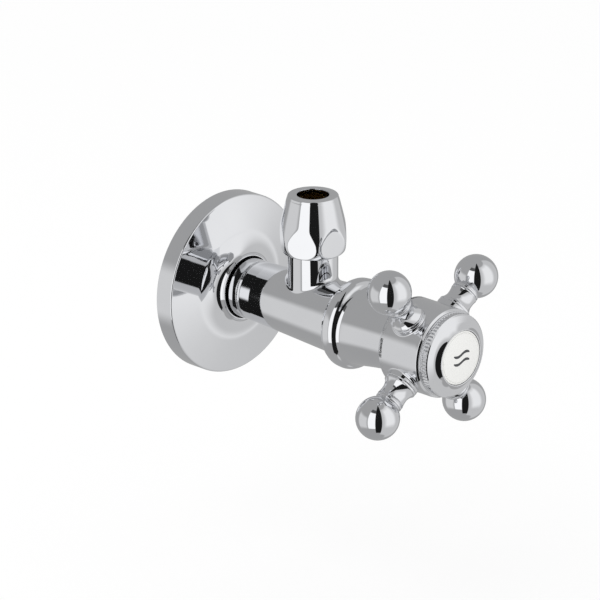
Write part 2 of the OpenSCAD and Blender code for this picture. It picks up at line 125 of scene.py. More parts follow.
@dataclass(frozen=True)
class Finish:
    """One real material and how its surface was made.

    Attributes:
        name: the material's plain name.
        slot: the record's material slot; not used.
        colour: sRGB hex colour of the clean surface.
        worn: sRGB hex colour that it drifts to in soft patches.
        metallic: 1 for a bare metal.
        smooth: roughness where it is best finished.
        rough: roughness where it is least finished.
        grain: how it was made.
        grain_mm: real size of one mark of the grain.
        relief_mm: height of the grain.
        coat: strength of a clear glaze over it.
    """

    name: str
    slot: str
    colour: str
    worn: str
    metallic: float
    smooth: float
    rough: float
    grain: Grain
    grain_mm: float
    relief_mm: float
    coat: float = 0.0

    def material(self) -> bpy.types.Material:
        """Returns the node material of this finish, made once."""
        found = bpy.data.materials.get(self.name)
        if found:
            return found
        made = bpy.data.materials.new(self.name)
        made.use_nodes = True
        tree = made.node_tree
        tree.nodes.clear()
        place = add_node(tree, "ShaderNodeTexCoord").outputs["Object"]
        clouds = add_node(tree, "ShaderNodeTexNoise", {}, {"Vector": place, "Scale": 1 / (9 * MM), "Detail": 3.0})
        tint = add_node(tree, "ShaderNodeMix", {"data_type": "RGBA"}, {0: clouds.outputs["Fac"]})
        tint.inputs[6].default_value = srgb(self.colour)
        tint.inputs[7].default_value = srgb(self.worn)
        gloss = add_node(tree, "ShaderNodeMapRange", {}, {
            "Value": clouds.outputs["Fac"], "From Min": 0.3, "From Max": 0.7,
            "To Min": self.smooth, "To Max": self.rough})
        shader = add_node(tree, "ShaderNodeBsdfPrincipled", {}, {
            "Base Color": tint.outputs[2], "Roughness": gloss.outputs["Result"],
            "Metallic": self.metallic, "Coat Weight": self.coat, "Coat Roughness": 0.03})
        bump = add_node(tree, "ShaderNodeBump", {}, {
            "Height": self._relief(tree, place), "Strength": 1.0, "Distance": self.relief_mm * MM})
        tree.links.new(bump.outputs["Normal"], shader.inputs["Normal"])
        add_node(tree, "ShaderNodeOutputMaterial", {}, {"Surface": shader.outputs[0]})
        return made

    def _relief(self, tree: bpy.types.NodeTree, place: bpy.types.NodeSocket) -> bpy.types.NodeSocket:
        """Draws the grain's height.

        Args:
            tree: node tree of the material.
            place: socket with the position in metres.
        Returns:
            The height socket, from 0 to 1.
        """
        scale = 1 / (self.grain_mm * MM)
        if self.grain is Grain.TURNED:
            # The tool leaves fine rings round the valve axis, so the marks change along Y and hardly across.
            stretched = add_node(tree, "ShaderNodeMapping", {"vector_type": "POINT"},
                                 {"Vector": place, "Scale": (0.02, 1.0, 0.02)})
            place = stretched.outputs[0]
        return add_node(tree, "ShaderNodeTexNoise", {}, {
            "Vector": place, "Scale": scale, "Detail": 2.0}).outputs["Fac"]


# Polished chrome plate on brass: a mirror, a touch blue, with the faint unevenness that a buffing wheel leaves.
CHROME = Finish("polished_chrome_plate", "chrome", "#E9EAEC", "#E4E5E8", 1.0, 0.025, 0.045,
                Grain.POLISHED, 4.0, 0.0012)
# Turned free-cutting brass, unplated: satin yellow with fine tool rings. The rings are drawn at 0.25 mm.
BRASS = Finish("turned_brass", "bare_brass", "#C9A45C", "#B18C4A", 1.0, 0.2, 0.34, Grain.TURNED, 0.25, 0.006)
# Moulded EPDM: black, dull, with the fine tooth of the mould.
RUBBER = Finish("moulded_epdm", "black_rubber", "#1B1B1C", "#242425", 0.0, 0.5, 0.65, Grain.MOULDED, 0.3, 0.01)
# Turned PTFE: waxy white.
PTFE = Finish("turned_ptfe", "white_ptfe", "#ECECE8", "#E2E2DC", 0.0, 0.32, 0.42, Grain.TURNED, 0.3, 0.006)
# Bright stainless steel, as rolled and turned: grey metal with fine marks.
STEEL = Finish("bright_stainless_steel", "stainless_steel", "#B9BABC", "#AEB0B3", 1.0, 0.18, 0.3,
               Grain.TURNED, 0.25, 0.004)
# Fired white enamel: glassy over a white ground.
ENAMEL = Finish("fired_white_enamel", "white_enamel", "#F3F3F1", "#F1F1EE", 0.0, 0.12, 0.2,
                Grain.GLAZED, 3.0, 0.002, 0.8)
# Dark fired colour in the disc's inlay.
INK = Finish("fired_dark_inlay", "index_ink", "#26292E", "#2C2F35", 0.0, 0.2, 0.3, Grain.GLAZED, 1.0, 0.002, 0.5)


# ---------------------------------------------------------------------------------------------------------
# Mesh building
# ---------------------------------------------------------------------------------------------------------


@dataclass
class Axis:
    """A line that shapes are turned about, in millimetres.

    Attributes:
        origin: a point on it.
        along: its direction.
        side: direction of angle 0.
        up: direction of angle 90.
    """

    origin: Vector
    along: Vector
    side: Vector
    up: Vector

    def point(self, radius: float, angle: float, way: float) -> Vector:
        """Returns the point at a radius, an angle in radians and a way along the axis."""
        out = self.side * math.cos(angle) + self.up * math.sin(angle)
        return self.origin + self.along * way + out * radius


VALVE_AXIS = Axis(Vector((0, 0, 0)), Vector((0, -1, 0)), Vector((1, 0, 0)), Vector((0, 0, 1)))


@dataclass
class Skin:
    """Points and faces of one piece while it is built."""

    points: list = field(default_factory=list)
    faces: list = field(default_factory=list)

    def ring(self, places: list) -> list[int]:
        """Adds points and returns their numbers."""
        first = len(self.points)
        self.points.extend(places)
        return list(range(first, len(self.points)))

    def bridge(self, low: list[int], high: list[int], hole: set | None = None) -> None:
        """Joins two closed rings with faces; a ring of one point is a pole.

        Args:
            low: first ring.
            high: second ring.
            hole: columns that stay open.
        """
        count = max(len(low), len(high))
        for i in range(count):
            if hole and i in hole:
                continue
            j = (i + 1) % count
            if len(low) == 1:
                self.faces.append((low[0], high[j], high[i]))
            elif len(high) == 1:
                self.faces.append((low[i], low[j], high[0]))
            else:
                self.faces.append((low[i], low[j], high[j], high[i]))

    def revolve(self, axis: Axis, outline: list, count: int, start: float = 0.0, shape=None,
                closed: bool = False, holes: list | None = None) -> list[list[int]]:
        """Turns an outline of (radius, way) points about an axis.

        Args:
            axis: the axis.
            outline: points in order; a radius of 0 makes a pole.
            count: how many steps round.
            start: angle of the first column, in radians.
            shape: function of radius, angle and way that gives the true radius.
            closed: whether the last ring joins the first one.
            holes: (first row, last row, columns) that stay open.
        Returns:
            The rings' point numbers.
        """
        turn = [start + math.tau * i / count for i in range(count)]
        rings = []
        for radius, way in outline:
            if radius <= 0:
                rings.append(self.ring([axis.point(0, 0, way)]))
                continue
            rings.append(self.ring([
                axis.point(shape(radius, a, way) if shape else radius, a, way) for a in turn]))
        last = len(rings) if closed else len(rings) - 1
        for k in range(last):
            open_columns = set()
            for first, final, columns in holes or []:
                if first <= k < final:
                    open_columns |= columns
            self.bridge(rings[k], rings[(k + 1) % len(rings)], open_columns)
        return rings

    def finish(self, name: str, body: str, finish: Finish, stands_for: list[str],
               sharp_deg: float = 32.0) -> bpy.types.Object:
        """Makes the mesh object, dresses it and puts it in the frame.

        Args:
            name: name of the piece.
            body: CAD body that it rides on.
            finish: its finish.
            stands_for: CAD nodes that it replaces.
            sharp_deg: edges that turn by more than this stay crisp.
        Returns:
            The new object.
        """
        mesh = bpy.data.meshes.new(name)
        mesh.from_pydata([p * MM for p in self.points], [], self.faces)
        mesh.validate()
        _face_outwards(mesh)
        mesh.polygons.foreach_set("use_smooth", [True] * len(mesh.polygons))
        mesh.set_sharp_from_angle(angle=math.radians(sharp_deg))
        mesh.materials.append(finish.material())
        piece = bpy.data.objects.new(name, mesh)
        bpy.context.scene.collection.objects.link(piece)
        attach(piece, body)
        if stands_for:
            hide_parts(*stands_for)
        LOG.info("%s: %d faces on %s", name, len(mesh.polygons), body)
        return piece


def _face_outwards(mesh: bpy.types.Mesh) -> None:
    """Turns all faces of a closed mesh outwards and welds coincident points."""
    work = bmesh.new()
    work.from_mesh(mesh)
    bmesh.ops.remove_doubles(work, verts=work.verts, dist=0.00002 * MM)
    bmesh.ops.recalc_face_normals(work, faces=work.faces)
    work.to_mesh(mesh)
    work.free()


# Points this close to a rounding keep the long faces beside it flat in reflections
GUARD_MM = 0.05


def rounded(corners: list, step_deg: float = 6.0) -> list[tuple[float, float]]:
    """Rounds the corners of an outline.

    Args:
        corners: (radius, way, rounding radius) points; the first and last are kept as they are.
        step_deg: largest turn between two points of a rounding.
    Returns:
        Outline of (radius, way) points.
    """
    path: list[tuple[float, float]] = []
    cut = [_cut_back(corners, i) for i in range(len(corners))]
    for i, (r, t, bend) in enumerate(corners):
        if bend <= 0 or i in (0, len(corners) - 1):
            path.append((r, t))
            continue
        here = Vector((r, t))
        back = (Vector(corners[i - 1][:2]) - here).normalized()
        ahead = (Vector(corners[i + 1][:2]) - here).normalized()
        opening = back.angle(ahead)
        centre = here + (back + ahead).normalized() * (bend / math.sin(opening / 2))
        start = here + back * (bend / math.tan(opening / 2)) - centre
        sweep = math.pi - opening
        if start.x * ahead.y - start.y * ahead.x < 0:
            sweep = -sweep
        steps = max(3, math.ceil(math.degrees(abs(sweep)) / step_deg))
        if (Vector(corners[i - 1][:2]) - here).length - cut[i] - cut[i - 1] > 3 * GUARD_MM:
            path.append(tuple(here + back * (cut[i] + GUARD_MM)))
        for k in range(steps + 1):
            a = sweep * k / steps
            path.append((centre.x + start.x * math.cos(a) - start.y * math.sin(a),
                         centre.y + start.x * math.sin(a) + start.y * math.cos(a)))
        if (Vector(corners[i + 1][:2]) - here).length - cut[i] - cut[i + 1] > 3 * GUARD_MM:
            path.append(tuple(here + ahead * (cut[i] + GUARD_MM)))
    return path


def _cut_back(corners: list, i: int) -> float:
    """Returns how far from a corner its rounding begins."""
    if corners[i][2] <= 0 or i in (0, len(corners) - 1):
        return 0.0
    here = Vector(corners[i][:2])
    opening = (Vector(corners[i - 1][:2]) - here).angle(Vector(corners[i + 1][:2]) - here)
    return corners[i][2] / math.tan(opening / 2)


def arc_points(centre: tuple, radius: float, first_deg: float, last_deg: float, steps: int) -> list:
    """Returns points along an arc of an outline, from one angle to another."""
    angles = [math.radians(first_deg + (last_deg - first_deg) * k / steps) for k in range(steps + 1)]
    return [(centre[0] + radius * math.cos(a), centre[1] + radius * math.sin(a)) for a in angles]


def smooth_curve(knots: list, steps: int) -> list[tuple[float, float]]:
    """Runs a smooth curve through outline points, with steps points between two of them."""
    out = []
    last = len(knots) - 1
    for i in range(last):
        p0, p1 = knots[max(i - 1, 0)], knots[i]
        p2, p3 = knots[i + 1], knots[min(i + 2, last)]
        for k in range(steps):
            u = k / steps
            out.append(tuple(
                0.5 * (2 * b + (c - a) * u + (2 * a - 5 * b + 4 * c - d) * u * u + (3 * b - a - 3 * c + d) * u ** 3)
                for a, b, c, d in zip(p0, p1, p2, p3)))
    out.append(tuple(knots[-1]))
    return out


def thread_depth(way: float, angle: float, pitch: float, depth: float) -> float:
    """Returns how deep a right-hand pipe thread is cut at a way along it and an angle."""
    phase = way / pitch - angle / math.tau
    return depth * (0.5 - 0.5 * math.cos(math.tau * phase))


@dataclass
class Branch:
    """A round branch that leaves a turned surface at a right angle, blended in by a rolling fillet.

    Attributes:
        axis: axis of the turned surface.
        angle: angle of the branch round that axis, in radians.
        reach: where its axis crosses, along the turned surface's axis.
        radius: radius of the branch.
        fillet: radius of the fillet; 0 leaves a crisp edge.
        wall_r: radius of the turned surface at the crossing.
        slope: how much that radius grows along the axis.
    """

    axis: Axis
    angle: float
    reach: float
    radius: float
    fillet: float
    wall_r: float
    slope: float = 0.0

    def place(self, across: float, height: float, way: float) -> Vector:
        """Returns the point at a distance across the branch, a height and a way along the main axis."""
        out = self.axis.side * math.cos(self.angle) + self.axis.up * math.sin(self.angle)
        over = self.axis.up * math.cos(self.angle) - self.axis.side * math.sin(self.angle)
        return self.axis.origin + self.axis.along * way + out * height + over * across

    def surface_r(self, way: float) -> float:
        """Returns the turned surface's radius at a way along its axis."""
        return self.wall_r + self.slope * (way - self.reach)

    def touch(self, turn: float) -> tuple[float, float, Vector]:
        """Finds where the fillet's rolling ball touches the turned surface.

        Args:
            turn: angle round the branch.
        Returns:
            Angle from the branch, way along the axis, and the ball's centre as (across, height, way).
        """
        tilt = math.atan(self.slope)
        across = (self.radius + self.fillet) * math.cos(turn)
        centre_way = self.reach + (self.radius + self.fillet) * math.sin(turn)
        way = centre_way + self.fillet * math.sin(tilt)
        centre_r = self.surface_r(way) + self.fillet * math.cos(tilt)
        height = math.sqrt(centre_r ** 2 - across ** 2)
        return math.atan2(across, height), way, Vector((across, height, centre_way))

    def grow(self, skin: Skin, rings: list, ways: list, first_col: int, columns: int,
             layers: int = 7) -> tuple[list[int], list[float]]:
        """Fills a rectangular opening of the turned surface up to the branch.

        Args:
            skin: the piece.
            rings: the turned surface's rings across the opening, in order along the axis.
            ways: their ways along the axis.
            first_col: first column of the opening.
            columns: how many columns it spans.
            layers: rings of faces between the opening's edge and the fillet.
        Returns:
            The last ring, at the end of the fillet, and each of its points' angle round the branch.
        """
        count = len(rings[0])
        half_turn = math.pi * columns / count
        half_way = (ways[-1] - ways[0]) / 2
        edge = [(0, c) for c in range(columns)]
        edge += [(k, columns) for k in range(len(rings) - 1)]
        edge += [(len(rings) - 1, c) for c in range(columns, 0, -1)]
        edge += [(k, 0) for k in range(len(rings) - 1, 0, -1)]
        numbers, starts, turns = [], [], []
        for k, c in edge:
            numbers.append(rings[k][(first_col + c) % count])
            starts.append((half_turn * (2 * c / columns - 1), ways[k]))
            turns.append(math.atan2((ways[k] - self.reach) / half_way, 2 * c / columns - 1))
        touches = [self.touch(a) for a in turns]
        ring = numbers
        for layer in range(1, layers + 1):
            share = layer / layers
            places = []
            for (a0, w0), (a1, w1, _) in zip(starts, touches):
                a, w = a0 + (a1 - a0) * share, w0 + (w1 - w0) * share
                r = self.surface_r(w)
                places.append(self.place(r * math.sin(a), r * math.cos(a), w))
            new = skin.ring(places)
            skin.bridge(ring, new)
            ring = new
        steps = 8 if self.fillet > 0 else 0
        for step in range(1, steps + 1):
            places = []
            for turn, (a, w, centre) in zip(turns, touches):
                r = self.surface_r(w)
                low = (Vector((r * math.sin(a), r * math.cos(a), w)) - centre).normalized()
                high = Vector((-math.cos(turn), 0, -math.sin(turn)))
                bend = low.angle(high)
                u = step / steps
                ray = (low * math.sin((1 - u) * bend) + high * math.sin(u * bend)) / math.sin(bend)
                places.append(self.place(*(centre + ray * self.fillet)))
            new = skin.ring(places)
            skin.bridge(ring, new)
            ring = new
        return ring, turns

    def tube(self, skin: Skin, ring: list[int], turns: list[float], outline: list, shape=None) -> list[int]:
        """Carries the branch on along its own axis.

        Args:
            skin: the piece.
            ring: the ring to start from.
            turns: each point's angle round the branch.
            outline: (radius, height) points in order; a radius of 0 closes it.
            shape: function of radius, angle and height that gives the true radius.
        Returns:
            The last ring.
        """
        for radius, height in outline:
            if radius <= 0:
                new = skin.ring([self.place(0, height, self.reach)])
            else:
                new = skin.ring([self._tube_point(shape(radius, a, height) if shape else radius, a, height)
                                 for a in turns])
            skin.bridge(ring, new)
            ring = new
        return ring

    def _tube_point(self, radius: float, turn: float, height: float) -> Vector:
        """Returns a point of the branch at a radius, an angle round it and a height."""
        return self.place(radius * math.cos(turn), height, self.reach + radius * math.sin(turn))


# ---------------------------------------------------------------------------------------------------------
# The frame's own sizes
# ---------------------------------------------------------------------------------------------------------


def reach_of(node: str) -> tuple[float, float]:
    """Returns the nearest and farthest reach of a CAD node, in millimetres."""
    low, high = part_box(node)
    return -high.y / MM, -low.y / MM


def radius_of(node: str) -> float:
    """Returns half of a CAD node's width, in millimetres."""
    low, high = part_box(node)
    return (high.x - low.x) / 2 / MM


OUTLET_REACH = -(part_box("compression_olive")[0].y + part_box("compression_olive")[1].y) / 2 / MM
NUT_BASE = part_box("outlet_nut")[0].z / MM


# ---------------------------------------------------------------------------------------------------------
# Valve body
# ---------------------------------------------------------------------------------------------------------


@dataclass
class ValveBody:
    """One-piece brass body: inlet thread, shank, tapered barrel and outlet boss, with its water ways."""

    thread_r: float = 10.4775
    thread_pitch: float = 1.814
    thread_cut: float = 1.1
    thread_len: float = 14.0
    thread_front: float = 4.0
    bore_r: float = 6.0
    shank_r: float = 9.6
    seal_floor_r: float = 9.0
    seal: tuple = (0.3, 2.1)
    land_r: float = 10.1775
    collar: tuple = (12.9, 16.4)
    collar_r: float = 10.1
    barrel_back: float = 16.8
    barrel_shoulder: float = 22.3
    barrel_r: tuple = (10.2, 12.25)
    spigot_r: float = 11.0
    front_r: float = 8.34
    chamber_r: float = 7.3
    seat_r: float = 4.6
    outlet_r: float = 4.2
    boss_r: float = 8.281
    boss_thread_r: float = 8.331
    boss_pitch: float = 1.337
    boss_cut: float = 0.8
    boss_fillet: float = 1.7
    pipe_r: float = 5.1
    columns: int = 256
    hole_columns: int = 86
    hole_rows: int = 44
    hole_reach: float = 11.2
    chamber_hole_reach: float = 6.4

    def build(self) -> bpy.types.Object:
        """Builds the body as one closed skin.

        Returns:
            The piece.
        """
        skin = Skin()
        barrel_front = reach_of("cover_sleeve")[0] + 2.2
        nose = reach_of("body_barrel")[1]
        slope = (self.barrel_r[1] - self.barrel_r[0]) / (barrel_front - self.barrel_shoulder)
        wall_r = self.barrel_r[0] + slope * (OUTLET_REACH - self.barrel_shoulder)
        boss = Branch(VALVE_AXIS, math.pi / 2, OUTLET_REACH, self.boss_r, self.boss_fillet, wall_r, slope)
        way_in = Branch(VALVE_AXIS, math.pi / 2, OUTLET_REACH, self.outlet_r, 0.0, self.chamber_r)
        outline = self._back_outline()
        outer_ways = self._ways(self.hole_reach)
        outer_first = len(outline)
        outline += [(boss.surface_r(w), w) for w in outer_ways]
        outline += rounded([
            (boss.surface_r(barrel_front - 0.1), barrel_front - 0.1, 0), (self.barrel_r[1], barrel_front, 0),
            (self.spigot_r, barrel_front, 0.15), (self.spigot_r, nose - 0.6, 0.1),
            (self.spigot_r - 0.6, nose, 0.1),
            (self.front_r, nose, 0.1), (self.front_r, nose - 10.2, 0.1), (self.chamber_r, nose - 10.2, 0)])
        inner_ways = self._ways(self.chamber_hole_reach)
        inner_first = len(outline)
        outline += [(self.chamber_r, w) for w in reversed(inner_ways)]
        seat = OUTLET_REACH - 8.5
        outline += rounded([
            (self.chamber_r, seat - 0.8, 0), (self.chamber_r, seat - 1, 0.15),
            (self.seat_r + 1.2, seat - 1, 0.15),
            (self.seat_r + 1.2, seat - 0.3, 0.1), (self.seat_r + 0.9, seat, 0.15), (self.seat_r, seat, 0.15),
            (self.seat_r, seat - 5, 0.2), (self.bore_r, seat - 5, 0.2), (self.bore_r, -self.thread_len, 0)])
        first_col = self.columns // 4 - self.hole_columns // 2
        open_columns = {(first_col + c) % self.columns for c in range(self.hole_columns)}
        rings = skin.revolve(
            VALVE_AXIS, outline, self.columns, shape=self._threaded, closed=True,
            holes=[(outer_first, outer_first + self.hole_rows, open_columns),
                   (inner_first, inner_first + self.hole_rows, open_columns)])
        outer = rings[outer_first : outer_first + self.hole_rows + 1]
        inner = rings[inner_first : inner_first + self.hole_rows + 1][::-1]
        ring, turns = boss.grow(skin, outer, outer_ways, first_col, self.hole_columns)
        ring = boss.tube(skin, ring, turns, self._boss_outline(), shape=self._boss_threaded)
        inner_ring, _ = way_in.grow(skin, inner, inner_ways, first_col, self.hole_columns, layers=4)
        skin.bridge(ring, inner_ring)
        return skin.finish("body_casting", "valve", CHROME, ["body_inlet", "body_barrel", "body_outlet"])

    def _ways(self, half: float) -> list[float]:
        """Returns the rows' ways across an opening for the outlet."""
        return [OUTLET_REACH + half * (2 * k / self.hole_rows - 1) for k in range(self.hole_rows + 1)]

    def _back_outline(self) -> list[tuple[float, float]]:
        """Returns the outline from the inlet's end to the back of the barrel's long taper."""
        start = -self.thread_len
        path = rounded([
            (self.bore_r, start, 0), (self.thread_r - 1, start, 0.15), (self.thread_r, start + 1, 0)])
        steps = 110
        path += [(self.thread_r, start + 1 + (self.seal[0] - start - 1) * k / steps) for k in range(1, steps)]
        path += rounded([
            (self.thread_r, self.seal[0], 0), (self.seal_floor_r, self.seal[0], 0),
            (self.seal_floor_r, self.seal[1], 0), (self.land_r, self.seal[1], 0.05),
            (self.land_r, self.thread_front, 0.1), (self.shank_r, self.thread_front + 0.6, 0.2),
            (self.shank_r, self.collar[0], 0.1), (self.collar_r, self.collar[0], 0.3),
            (self.collar_r, self.collar[1], 0.12), (self.shank_r, self.collar[1], 0.1),
            (self.shank_r, self.barrel_back, 0.1), (self.barrel_r[0] - 0.35, self.barrel_back, 0.3),
            (self.barrel_r[0] - 0.12, self.barrel_back + 1.0, 1.2),
            (self.barrel_r[0], self.barrel_shoulder, 2.0),
            (self.barrel_r[0] + 0.2, self.barrel_shoulder + 3.8, 0)])[:-1]
        return path

    def _threaded(self, radius: float, angle: float, way: float) -> float:
        """Returns the inlet's radius with its thread cut in."""
        on_thread = radius == self.thread_r and way <= self.seal[0]
        if not on_thread:
            return radius
        run_out = min(1.0, max(0.0, (way + self.thread_len - 0.8) / self.thread_pitch))
        return radius - run_out * thread_depth(way, angle, self.thread_pitch, self.thread_cut)

    def _boss_outline(self) -> list[tuple[float, float]]:
        """Returns the boss's outline, up its outside, over the top and down the water way."""
        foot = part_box("outlet_nut")[0].z / MM
        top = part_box("body_outlet")[1].z / MM
        steps = 90
        path = [(self.boss_r, foot - 0.3), (self.boss_r, foot - 0.05), (self.boss_thread_r, foot)]
        path += [(self.boss_thread_r, foot + (top - 0.8 - foot) * k / steps) for k in range(1, steps + 1)]
        path += rounded([
            (self.boss_thread_r - 0.05, top - 0.75, 0), (self.boss_thread_r - 0.8, top, 0.1),
            (self.pipe_r + 1.6, top, 0.05), (self.pipe_r, top - 1.2, 0.1), (self.pipe_r, top - 7, 0.1),
            (self.outlet_r, top - 7, 0.1), (self.outlet_r, top - 12, 0)])
        return path

    def _boss_threaded(self, radius: float, angle: float, height: float) -> float:
        """Returns the boss's radius with its thread cut in."""
        if radius != self.boss_thread_r:
            return radius
        return radius - thread_depth(height, angle, self.boss_pitch, self.boss_cut)


# ---------------------------------------------------------------------------------------------------------
# Rosette, nut and sleeve
# ---------------------------------------------------------------------------------------------------------


@dataclass
class Rosette:
    """Hollow spun and plated wall rosette with a flared collar."""

    rim: float = 6.7
    wall: float = 1.3
    lip_r: float = 11.05
    hole_r: float = 10.6
    seat_r: float = 11.4
    seat: tuple = (5.8, 7.8)
    flare_r: float = 18.55
    flare_back: float = 8.3
    hub_r: float = 13.0
    hub_back: float = 0.8
    flare_steps: int = 26

    def build(self) -> bpy.types.Object:
        """Builds the rosette as a turned ring.

        Returns:
            The piece.
        """
        edge = radius_of("wall_rosette")
        reach = reach_of("wall_rosette")[1]
        width, depth = self.flare_r - self.lip_r, reach - self.flare_back
        turns = [math.pi / 2 * k / self.flare_steps for k in range(self.flare_steps + 1)]
        flare = [(self.flare_r - width * math.sin(a), reach - depth * math.cos(a)) for a in turns]
        inner_back = self.flare_back - self.wall
        outline = rounded([
            (self.hole_r, self.hub_back, 0), (self.hub_r, self.hub_back, 0.1), (self.hub_r, inner_back, 0.4),
            (self.flare_r, inner_back, 0.4), (edge - self.wall, self.rim - self.wall, 0.5),
            (edge - self.wall, 0, 0.1), (edge, 0, 0.15), (edge, self.rim, 0.65),
            (self.flare_r + 0.8, self.flare_back - 0.11, 0)])
        outline += flare[:-1]
        outline += rounded([
            (flare[-1][0], reach - 0.1, 0), (self.lip_r, reach, 0.18), (self.hole_r, reach, 0.15),
            (self.hole_r, self.seat[1], 0.05), (self.seat_r, self.seat[1], 0.05),
            (self.seat_r, self.seat[0], 0.05),
            (self.hole_r, self.seat[0], 0.05), (self.hole_r, self.hub_back, 0)])[1:-1]
        skin = Skin()
        skin.revolve(VALVE_AXIS, outline, 256, closed=True)
        return skin.finish("rosette_shell", "rosette", CHROME, ["wall_rosette"])


@dataclass
class OutletNut:
    """Crowned compression nut whose six flats run out into petals."""

    flats_mm: float = 20.0
    turn_deg: float = -8.0
    mouth_r: float = 5.32
    thread_r: float = 8.381
    olive_r: float = 6.5
    blend: float = 0.08
    blend_reach: float = 8.0
    lean: float = 0.055
    flats: int = 6

    def build(self) -> bpy.types.Object:
        """Builds the nut.

        Returns:
            The piece.
        """
        low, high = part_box("outlet_nut")
        base, top = low.z / MM, high.z / MM
        widest = 11.45
        length = top - base
        crown = smooth_curve([
            (widest - 2.1, base), (widest - 1.15, base + 0.6), (widest - 0.45, base + 1.9),
            (widest - 0.1, base + 3.4), (widest, base + 4.8), (widest - 0.15, base + 6.6),
            (widest - 1.2, base + length * 0.6), (widest - 2.65, top - 2), (widest - 3, top - 0.9)], 16)
        crown += rounded([
            (widest - 3.02, top - 0.8, 0), (widest - 3.2, top - 0.02, 0.45), (self.mouth_r, top, 0.12),
            (self.mouth_r, top - 4.0, 0.3), (self.olive_r, top - 5.2, 0.2), (self.olive_r, top - 7.6, 0.3),
            (self.thread_r, top - 8.8, 0.2), (self.thread_r, base + 0.5, 0.2),
            (self.thread_r + 0.4, base, 0.05),
            (widest - 2.1, base, 0)])[:-1]
        axis = Axis(Vector((0, -OUTLET_REACH, 0)), Vector((0, 0, 1)), Vector((1, 0, 0)), Vector((0, 1, 0)))
        skin = Skin()
        skin.revolve(axis, crown, 480, shape=self._with_flats, closed=True)
        return skin.finish("crowned_nut", "nut", CHROME, ["outlet_nut"], sharp_deg=60)

    def _with_flats(self, radius: float, angle: float, way: float) -> float:
        """Returns the crown's radius where the flats cut it, with softly polished edges.

        The flats lean out with height, which rounds the petals that they cut.
        """
        if radius < self.thread_r + 0.5:
            return radius
        sector = math.tau / self.flats
        off = (angle - math.radians(self.turn_deg) - sector / 2) % sector
        off = min(off, sector - off)
        flat = (self.flats_mm / 2 + self.lean * (way - NUT_BASE)) / math.cos(off)
        gap = (flat - radius) / self.blend
        if gap >= self.blend_reach:
            return radius
        return flat - self.blend * math.log1p(math.exp(gap))


@dataclass
class CoverSleeve:
    """Bell-shaped sleeve with a bead, screwed over the headpart."""

    bead_r: float = 15.15
    bead_at: float = 2.8
    bead_round: float = 3.3
    cove_round: float = 3.0
    bead_turn: float = 50.0
    cove_end: float = 191.0
    lip_r: float = 10.95
    waist_slope: float = 0.19
    wall: float = 1.15
    socket_r: float = 12.3
    screw_r: float = 11.04

    def build(self) -> bpy.types.Object:
        """Builds the sleeve.

        Returns:
            The piece.
        """
        back, front = reach_of("cover_sleeve")
        barrel_front = back + 2.2
        nose = reach_of("body_barrel")[1]
        bead = (self.bead_r - self.bead_round, back + self.bead_at)
        turn = math.radians(self.bead_turn)
        gap = self.bead_round + self.cove_round
        cove = (bead[0] + gap * math.cos(turn), bead[1] + gap * math.sin(turn))
        outline = rounded([
            (self.socket_r, back, 0), (self.bead_r - 0.75, back, 0.35), (self.bead_r - 0.14, back + 1.2, 1.2),
            (self.bead_r, back + self.bead_at - 0.1, 0)])[:-1]
        outline += arc_points(bead, self.bead_round, 0, self.bead_turn, 16)
        outline += arc_points(cove, self.cove_round, 180 + self.bead_turn, self.cove_end, 14)[1:]
        start = outline[-1]
        run = front - 0.6 - start[1]
        bow = (self.lip_r - start[0] + self.waist_slope * run) / run ** 2
        outline += [(start[0] - self.waist_slope * x + bow * x * x, start[1] + x)
                    for x in (run * k / 24 for k in range(1, 25))]
        outline += rounded([
            (self.lip_r, front - 0.55, 0), (self.lip_r, front, 0.4), (self.lip_r - self.wall, front, 0.15),
            (self.lip_r - self.wall, front - 3, 0.5), (self.screw_r, nose, 0.3),
            (self.screw_r, barrel_front + 0.1, 0.05), (self.socket_r, barrel_front + 0.1, 0.05),
            (self.socket_r, back, 0)])[:-1]
        skin = Skin()
        skin.revolve(VALVE_AXIS, outline, 256, closed=True)
        return skin.finish("bell_sleeve", "valve", CHROME, ["cover_sleeve"])


# ---------------------------------------------------------------------------------------------------------
# Handle
# ---------------------------------------------------------------------------------------------------------


